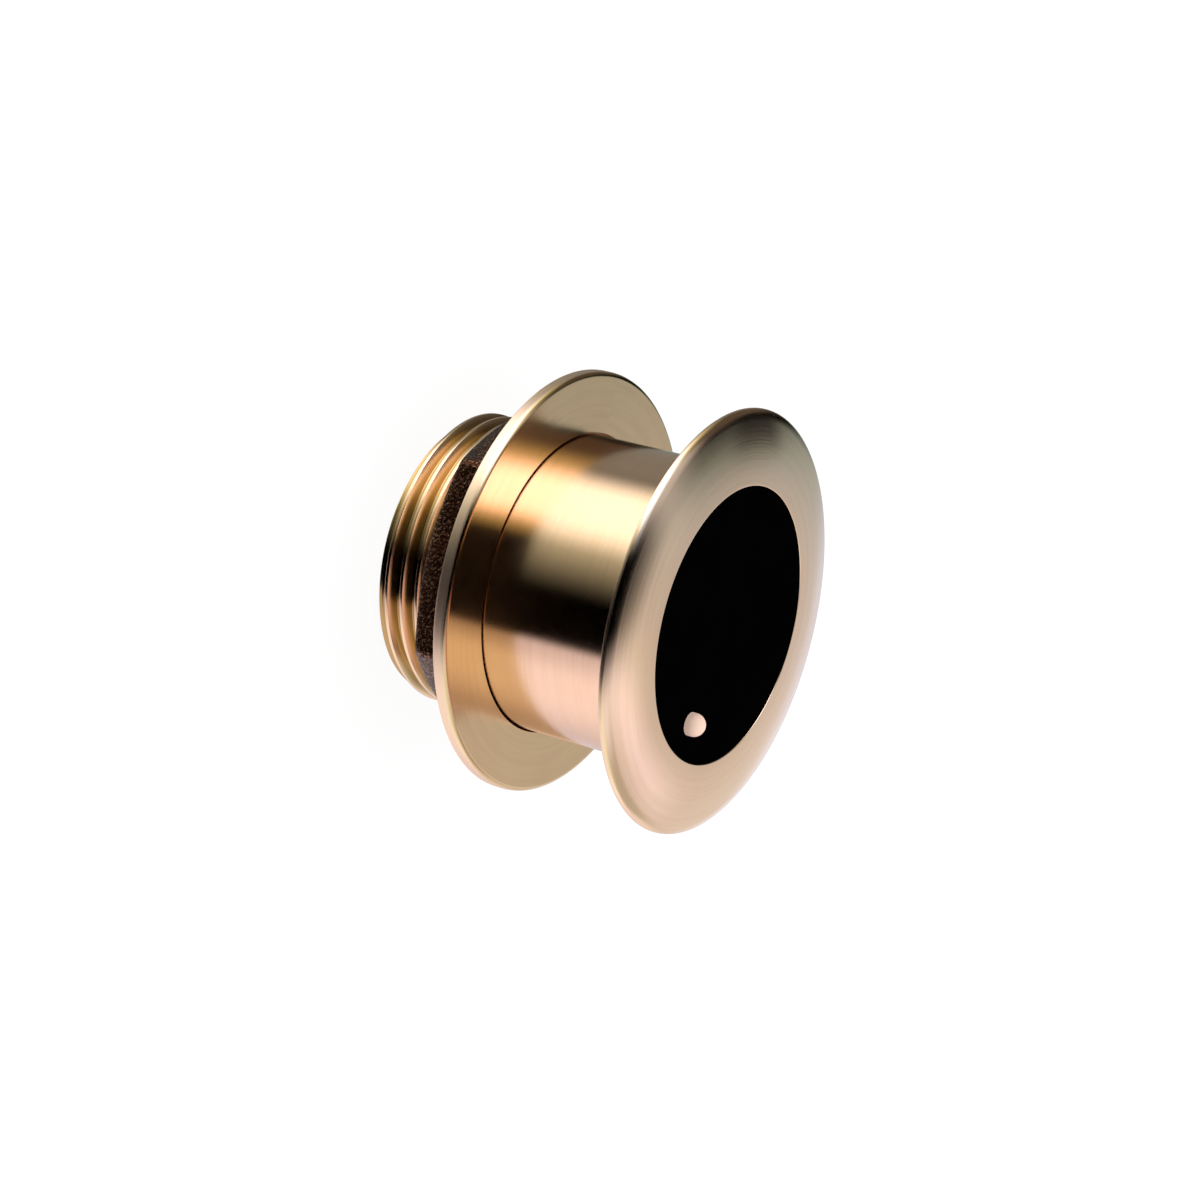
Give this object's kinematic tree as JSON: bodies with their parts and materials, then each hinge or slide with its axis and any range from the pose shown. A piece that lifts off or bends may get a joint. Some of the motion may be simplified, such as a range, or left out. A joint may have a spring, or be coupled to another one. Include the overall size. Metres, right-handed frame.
{
  "type": "sonar transducer",
  "caption": "Through-hull sonar transducer with a low crowned flange, a black sensing face, a threaded stem and a hexagonal hull nut.",
  "frame": {"origin": "centre of the threaded end's face, on which the part stands", "axes": "+Z along the stem's axis towards the sensing face; +X through a corner of the hull nut's hexagon"},
  "size_m": [0.1348, 0.1348, 0.1046],
  "materials": {
    "bronze": "satin",
    "nut_bronze": "satin",
    "window_urethane": "satin",
    "probe_brass": "satin",
    "nylon": "matte",
    "bead_glass": "gloss",
    "wire": "satin",
    "piezo_ceramic": "satin",
    "cork": "matte",
    "backing_rubber": "matte",
    "circuit_board": "satin",
    "chip_plastic": "matte",
    "ferrite": "matte",
    "potting_resin": "gloss",
    "gland_plastic": "satin",
    "seal_rubber": "matte"
  },
  "bodies": {
    "root": {"housing": "bronze", "hull_nut": "nut_bronze", "face_window": "window_urethane", "probe_tip": "probe_brass", "probe_sleeve": "nylon", "thermistor_bead": "bead_glass", "thermistor_lead_a": "wire", "thermistor_lead_b": "wire", "ceramic_disc": "piezo_ceramic", "isolation_sleeve": "cork", "backing_pad": "backing_rubber", "element_carrier": "nylon", "signal_lead": "wire", "return_lead": "wire", "terminal_board": "circuit_board", "terminal_pins": "wire", "id_chip": "chip_plastic", "transformer_core": "ferrite", "primary_winding": "wire", "secondary_winding": "wire", "ground_strap": "wire", "rear_potting": "potting_resin", "gland_body": "gland_plastic", "gland_seal": "seal_rubber", "gland_nut": "gland_plastic"}
  },
  "joints": []
}
